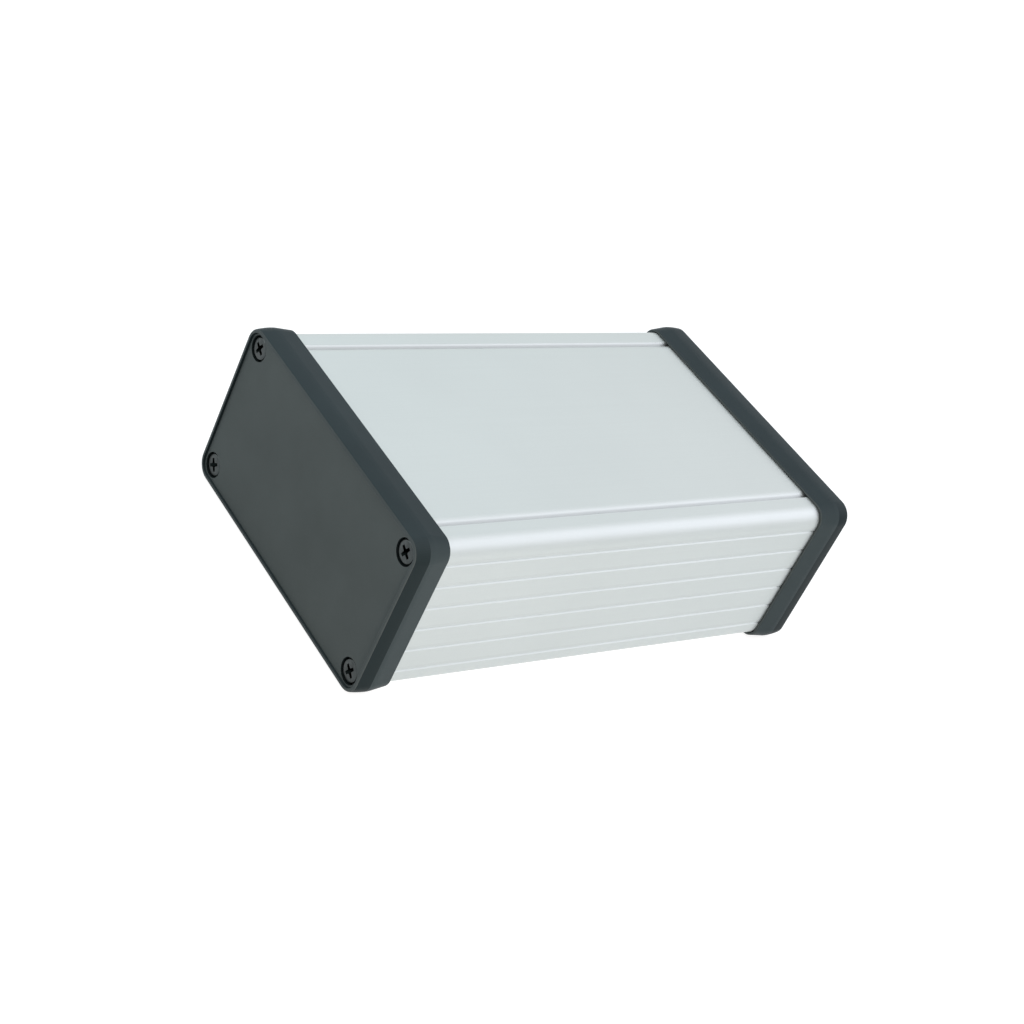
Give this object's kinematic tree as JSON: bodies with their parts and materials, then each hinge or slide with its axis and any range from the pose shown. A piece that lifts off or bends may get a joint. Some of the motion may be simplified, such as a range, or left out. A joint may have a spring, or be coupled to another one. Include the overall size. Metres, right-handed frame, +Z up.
{
  "type": "extruded aluminium enclosure",
  "caption": "Rectangular instrument case: a grooved anodised aluminium extrusion, moulded dark end bezels, inset end panels held by corner screws, and a slide-in base plate.",
  "frame": {"origin": "on the ground plane under the middle of the case, where the bezels rest", "axes": "+X along the extrusion from the near end to the far end, +Z up through the plain top, +Y across the case, away from the side that the picture shows"},
  "size_m": [0.1306, 0.078, 0.043],
  "materials": {
    "anodised_aluminium": "fine blasted, clear anodised",
    "charcoal_abs": "matt moulded",
    "black_screw": "black oxide"
  },
  "bodies": {
    "root": {"enclosure_body": "anodised_aluminium", "base_plate": "anodised_aluminium", "near_bezel": "charcoal_abs", "far_bezel": "charcoal_abs", "near_end_panel": "charcoal_abs", "far_end_panel": "charcoal_abs", "near_screw_upper_left": "black_screw", "near_screw_upper_right": "black_screw", "near_screw_lower_left": "black_screw", "near_screw_lower_right": "black_screw", "far_screw_upper_left": "black_screw", "far_screw_upper_right": "black_screw", "far_screw_lower_left": "black_screw", "far_screw_lower_right": "black_screw"}
  },
  "joints": []
}
